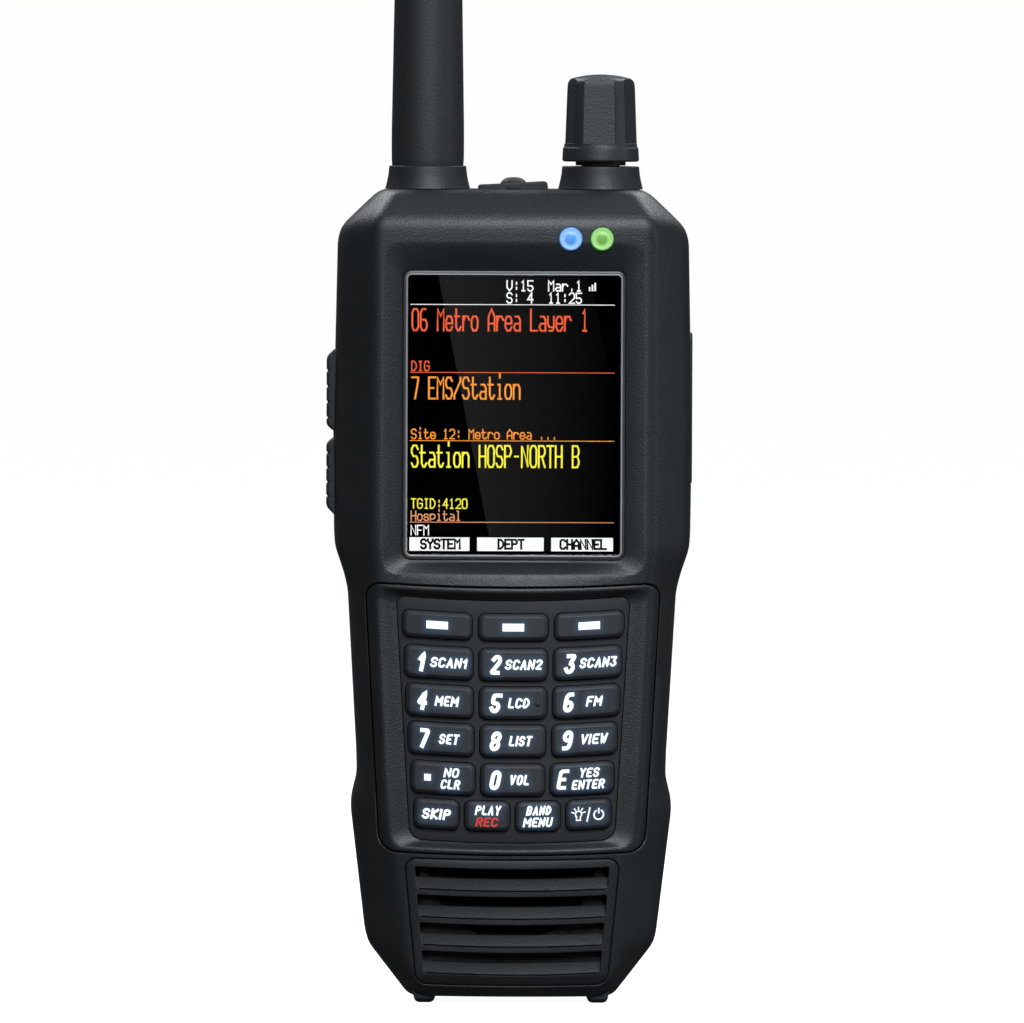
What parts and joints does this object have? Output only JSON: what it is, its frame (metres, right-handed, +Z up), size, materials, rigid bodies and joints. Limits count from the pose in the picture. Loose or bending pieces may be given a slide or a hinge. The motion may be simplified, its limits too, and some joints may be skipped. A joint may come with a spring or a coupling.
{
  "type": "hand-held radio scanner",
  "caption": "Hand-held radio scanner with a colour display above a backlit keypad, a louvred speaker grille, a top knob and a whip antenna.",
  "frame": {"origin": "middle of the whole object's footprint, at the bottom of the foot ridges", "axes": "+Z up along the antenna; -Y towards the display side; +X to the right seen from the front"},
  "size_m": [0.0678, 0.0432, 0.3199],
  "materials": {
    "case_plastic": "fine-textured black",
    "antenna_rubber": "satin black",
    "knob_rubber": "satin black",
    "cover_rubber": "matt black",
    "keypad_rubber": "matt charcoal",
    "frame_plastic": "silver-grey",
    "display_glass": "clear, glossy",
    "screen": "black",
    "lamp_blue": "translucent blue",
    "lamp_green": "translucent green",
    "circuit_board": "green solder mask",
    "tinplate": "bright tinplate",
    "brass": "bright",
    "steel": "bright",
    "black_steel": "blackened",
    "speaker_cone": "matt",
    "battery_can": "wrapped in blue film"
  },
  "bodies": {
    "case": {"front_case": "case_plastic", "rear_case": "case_plastic", "keypad_bezel": "case_plastic", "speaker_grille": "case_plastic", "speaker_baffle": "case_plastic", "antenna_collar": "case_plastic", "knob_collar": "case_plastic", "keypad_mat": "keypad_rubber", "display_frame": "frame_plastic", "display_lens": "display_glass", "lcd_module": "screen", "led_lens_blue": "lamp_blue", "led_lens_green": "lamp_green", "keypad_board": "circuit_board", "main_board": "circuit_board", "radio_shield": "tinplate", "usb_socket": "tinplate", "antenna_socket": "brass", "battery_contact": "brass", "encoder_body": "steel", "headphone_jack": "steel", "case_screw_1": "black_steel", "case_screw_2": "black_steel", "case_screw_3": "black_steel", "case_screw_4": "black_steel", "speaker": "speaker_cone", "battery_pack": "battery_can"},
    "antenna": {"antenna_whip": "antenna_rubber", "antenna_nut": "brass"},
    "knob_shaft": {"encoder_shaft": "steel"},
    "knob": {"volume_knob": "knob_rubber"},
    "jack_flap": {"jack_cover": "cover_rubber"},
    "port_flap": {"port_cover": "cover_rubber"},
    "side_key_up": {"side_key_upper": "cover_rubber"},
    "side_key_down": {"side_key_lower": "cover_rubber"},
    "rear_cover": {"battery_cover": "case_plastic", "clip_bracket": "black_steel", "clip_pin": "steel", "clip_spring": "steel"},
    "latch": {"battery_latch": "case_plastic"},
    "clip": {"belt_clip": "case_plastic"},
    "pad_soft_left": {"key_soft_left": "keypad_rubber"},
    "pad_soft_middle": {"key_soft_middle": "keypad_rubber"},
    "pad_soft_right": {"key_soft_right": "keypad_rubber"},
    "pad_1": {"key_1": "keypad_rubber"},
    "pad_2": {"key_2": "keypad_rubber"},
    "pad_3": {"key_3": "keypad_rubber"},
    "pad_4": {"key_4": "keypad_rubber"},
    "pad_5": {"key_5": "keypad_rubber"},
    "pad_6": {"key_6": "keypad_rubber"},
    "pad_7": {"key_7": "keypad_rubber"},
    "pad_8": {"key_8": "keypad_rubber"},
    "pad_9": {"key_9": "keypad_rubber"},
    "pad_dot": {"key_dot": "keypad_rubber"},
    "pad_0": {"key_0": "keypad_rubber"},
    "pad_enter": {"key_enter": "keypad_rubber"},
    "pad_avoid": {"key_avoid": "keypad_rubber"},
    "pad_replay": {"key_replay": "keypad_rubber"},
    "pad_service": {"key_service": "keypad_rubber"},
    "pad_power": {"key_power": "keypad_rubber"}
  },
  "joints": [
    {"name": "press_soft_left", "type": "slide", "parent": "case", "child": "pad_soft_left", "axis": [0, 1, 0], "range_m": [0, 0.0008], "stiffness_N_per_m": 1500},
    {"name": "press_soft_middle", "type": "slide", "parent": "case", "child": "pad_soft_middle", "axis": [0, 1, 0], "range_m": [0, 0.0008], "stiffness_N_per_m": 1500},
    {"name": "press_soft_right", "type": "slide", "parent": "case", "child": "pad_soft_right", "axis": [0, 1, 0], "range_m": [0, 0.0008], "stiffness_N_per_m": 1500},
    {"name": "press_1", "type": "slide", "parent": "case", "child": "pad_1", "axis": [0, 1, 0], "range_m": [0, 0.0008], "stiffness_N_per_m": 1500},
    {"name": "press_2", "type": "slide", "parent": "case", "child": "pad_2", "axis": [0, 1, 0], "range_m": [0, 0.0008], "stiffness_N_per_m": 1500},
    {"name": "press_3", "type": "slide", "parent": "case", "child": "pad_3", "axis": [0, 1, 0], "range_m": [0, 0.0008], "stiffness_N_per_m": 1500},
    {"name": "press_4", "type": "slide", "parent": "case", "child": "pad_4", "axis": [0, 1, 0], "range_m": [0, 0.0008], "stiffness_N_per_m": 1500},
    {"name": "press_5", "type": "slide", "parent": "case", "child": "pad_5", "axis": [0, 1, 0], "range_m": [0, 0.0008], "stiffness_N_per_m": 1500},
    {"name": "press_6", "type": "slide", "parent": "case", "child": "pad_6", "axis": [0, 1, 0], "range_m": [0, 0.0008], "stiffness_N_per_m": 1500},
    {"name": "press_7", "type": "slide", "parent": "case", "child": "pad_7", "axis": [0, 1, 0], "range_m": [0, 0.0008], "stiffness_N_per_m": 1500},
    {"name": "press_8", "type": "slide", "parent": "case", "child": "pad_8", "axis": [0, 1, 0], "range_m": [0, 0.0008], "stiffness_N_per_m": 1500},
    {"name": "press_9", "type": "slide", "parent": "case", "child": "pad_9", "axis": [0, 1, 0], "range_m": [0, 0.0008], "stiffness_N_per_m": 1500},
    {"name": "press_dot", "type": "slide", "parent": "case", "child": "pad_dot", "axis": [0, 1, 0], "range_m": [0, 0.0008], "stiffness_N_per_m": 1500},
    {"name": "press_0", "type": "slide", "parent": "case", "child": "pad_0", "axis": [0, 1, 0], "range_m": [0, 0.0008], "stiffness_N_per_m": 1500},
    {"name": "press_enter", "type": "slide", "parent": "case", "child": "pad_enter", "axis": [0, 1, 0], "range_m": [0, 0.0008], "stiffness_N_per_m": 1500},
    {"name": "press_avoid", "type": "slide", "parent": "case", "child": "pad_avoid", "axis": [0, 1, 0], "range_m": [0, 0.0008], "stiffness_N_per_m": 1500},
    {"name": "press_replay", "type": "slide", "parent": "case", "child": "pad_replay", "axis": [0, 1, 0], "range_m": [0, 0.0008], "stiffness_N_per_m": 1500},
    {"name": "press_service", "type": "slide", "parent": "case", "child": "pad_service", "axis": [0, 1, 0], "range_m": [0, 0.0008], "stiffness_N_per_m": 1500},
    {"name": "press_power", "type": "slide", "parent": "case", "child": "pad_power", "axis": [0, 1, 0], "range_m": [0, 0.0008], "stiffness_N_per_m": 1500},
    {"name": "press_side_upper", "type": "slide", "parent": "case", "child": "side_key_up", "axis": [1, 0, 0], "range_m": [0, 0.0006], "stiffness_N_per_m": 2000},
    {"name": "press_side_lower", "type": "slide", "parent": "case", "child": "side_key_down", "axis": [1, 0, 0], "range_m": [0, 0.0006], "stiffness_N_per_m": 2000},
    {"name": "antenna_screw", "type": "hinge", "parent": "case", "child": "antenna", "pos_m": [-0.01535, -0.0055, 0.1549], "axis": [0, 0, 1], "range_deg": [0, 1800]},
    {"name": "knob_push", "type": "slide", "parent": "case", "child": "knob_shaft", "axis": [0, 0, -1], "range_m": [0, 0.0006], "stiffness_N_per_m": 3000},
    {"name": "knob_turn", "type": "hinge", "parent": "knob_shaft", "child": "knob", "pos_m": [0.01665, -0.0055, 0.16], "axis": [0, 0, 1], "continuous": true},
    {"name": "jack_cover_hinge", "type": "hinge", "parent": "case", "child": "jack_flap", "pos_m": [0.00695, -0.0055, 0.1506], "axis": [0, 1, 0], "range_deg": [0, 85], "stiffness_Nm_per_rad": 0.002},
    {"name": "port_cover_hinge", "type": "hinge", "parent": "case", "child": "port_flap", "pos_m": [0.0339, -0.0066, 0.096], "axis": [0, 1, 0], "range_deg": [0, 100], "stiffness_Nm_per_rad": 0.003},
    {"name": "battery_cover_hinge", "type": "hinge", "parent": "case", "child": "rear_cover", "pos_m": [0.00055, 0.0088, 0.097], "axis": [1, 0, 0], "range_deg": [0, 40]},
    {"name": "battery_latch_slide", "type": "slide", "parent": "rear_cover", "child": "latch", "axis": [0, 0, 1], "range_m": [0, 0.0018], "stiffness_N_per_m": 500},
    {"name": "belt_clip_hinge", "type": "hinge", "parent": "rear_cover", "child": "clip", "pos_m": [0.00055, 0.0181, 0.086], "axis": [1, 0, 0], "range_deg": [0, 18], "stiffness_Nm_per_rad": 0.15}
  ]
}
